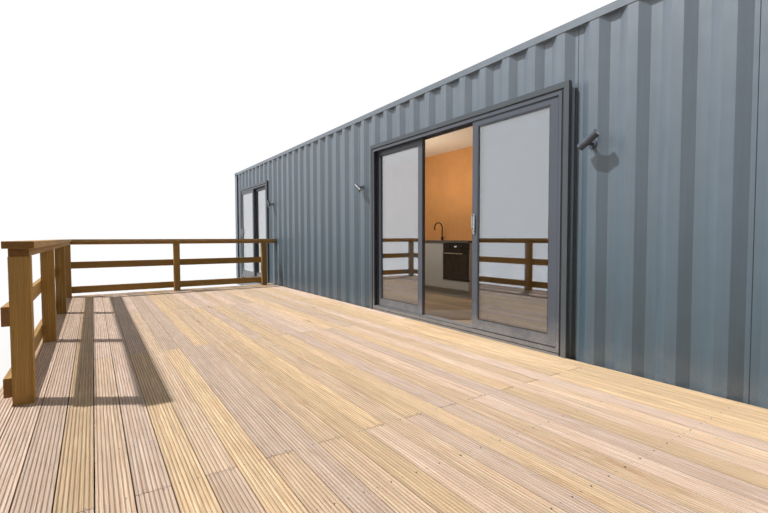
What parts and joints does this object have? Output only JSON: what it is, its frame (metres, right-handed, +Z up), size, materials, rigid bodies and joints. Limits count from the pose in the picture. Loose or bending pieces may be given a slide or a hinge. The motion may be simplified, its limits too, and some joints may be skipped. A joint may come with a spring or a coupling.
{
  "type": "shipping container cabin",
  "caption": "High cube container cabin with sliding glass doors, a kitchen run inside and a balustraded timber deck in front.",
  "frame": {"origin": "middle of the footprint of container and deck, at ground level", "axes": "X along the container, the two-leaf door towards -X; the doors and the deck face -Y; +Z up"},
  "size_m": [12.192, 6.075, 2.896],
  "materials": {
    "container_paint": "satin blue-grey paint over ribbed steel",
    "frame_coating": "matt anthracite coating on aluminium",
    "light_coating": "matt anthracite coating",
    "door_glass": "clear double glazing with a grey cast",
    "handle_steel": "brushed",
    "white_lining": "matt emulsion on board",
    "ochre_lining": "matt ochre emulsion on board",
    "floor_finish": "pale laminate boards",
    "kitchen_fronts": "light grey matt fronts",
    "worktop_laminate": "black matt laminate",
    "black_metal": "matt black",
    "oven_enamel": "black enamel and glass",
    "lamp_white": "opal",
    "deck_timber": "ribbed softwood decking, weathered pinkish yellow",
    "post_timber": "pressure treated softwood, greenish brown"
  },
  "bodies": {
    "root": {"corner_castings": "container_paint", "corner_posts": "container_paint", "top_side_rails": "container_paint", "bottom_side_rails": "container_paint", "end_rails": "container_paint", "cross_members": "container_paint", "roof_sheet": "container_paint", "floor_panel": "floor_finish", "ceiling": "white_lining", "front_wall_far": "container_paint", "front_wall_middle": "container_paint", "front_wall_near": "container_paint", "front_wall_over_doors": "container_paint", "back_wall": "container_paint", "end_walls": "container_paint", "front_lining_far": "white_lining", "front_lining_middle": "white_lining", "front_lining_near": "white_lining", "front_lining_over_doors": "white_lining", "back_lining": "ochre_lining", "end_linings": "white_lining", "main_door_surround": "container_paint", "main_door_frame": "frame_coating", "main_door_fixed_leaves": "frame_coating", "main_door_fixed_glass": "door_glass", "far_door_surround": "container_paint", "far_door_frame": "frame_coating", "far_door_fixed_leaf": "frame_coating", "far_door_fixed_glass": "door_glass", "light_brackets": "light_coating", "kitchen_units": "kitchen_fronts", "kitchen_plinth": "kitchen_fronts", "worktop": "worktop_laminate", "sink": "handle_steel", "tap": "black_metal", "oven": "oven_enamel", "ceiling_lights": "lamp_white", "deck_boards": "deck_timber", "deck_joists": "deck_timber", "deck_bearers": "deck_timber", "deck_rims": "deck_timber", "deck_spacers": "deck_timber", "balustrade_posts": "post_timber", "balustrade_caps": "deck_timber", "balustrade_under_rails": "post_timber", "balustrade_mid_rails": "post_timber"},
    "main_slider": {"main_door_sliding_leaf": "frame_coating", "main_door_sliding_glass": "door_glass", "main_door_handle": "handle_steel"},
    "far_slider": {"far_door_sliding_leaf": "frame_coating", "far_door_sliding_glass": "door_glass", "far_door_handle": "handle_steel"},
    "light_near": {"light_head_near": "light_coating"},
    "light_middle": {"light_head_middle": "light_coating"},
    "light_far": {"light_head_far": "light_coating"},
    "oven_flap": {"oven_door": "oven_enamel"}
  },
  "joints": [
    {"name": "main_door_slide", "type": "slide", "parent": "root", "child": "main_slider", "axis": [-1, 0, 0], "range_m": [0, 0.889]},
    {"name": "far_door_slide", "type": "slide", "parent": "root", "child": "far_slider", "axis": [1, 0, 0], "range_m": [0, 0.865]},
    {"name": "light_near_tilt", "type": "hinge", "parent": "root", "child": "light_near", "pos_m": [3.7, 0.5575, 1.91], "axis": [0, 1, 0], "range_deg": [-100, 32]},
    {"name": "light_middle_tilt", "type": "hinge", "parent": "root", "child": "light_middle", "pos_m": [0.364, 0.5575, 1.91], "axis": [0, 1, 0], "range_deg": [-31, 107]},
    {"name": "light_far_tilt", "type": "hinge", "parent": "root", "child": "light_far", "pos_m": [-3.25, 0.5575, 1.91], "axis": [0, 1, 0], "range_deg": [-58, 75]},
    {"name": "oven_door_hinge", "type": "hinge", "parent": "root", "child": "oven_flap", "pos_m": [0.364, 2.3545, 0.527], "axis": [1, 0, 0], "range_deg": [0, 88]}
  ]
}
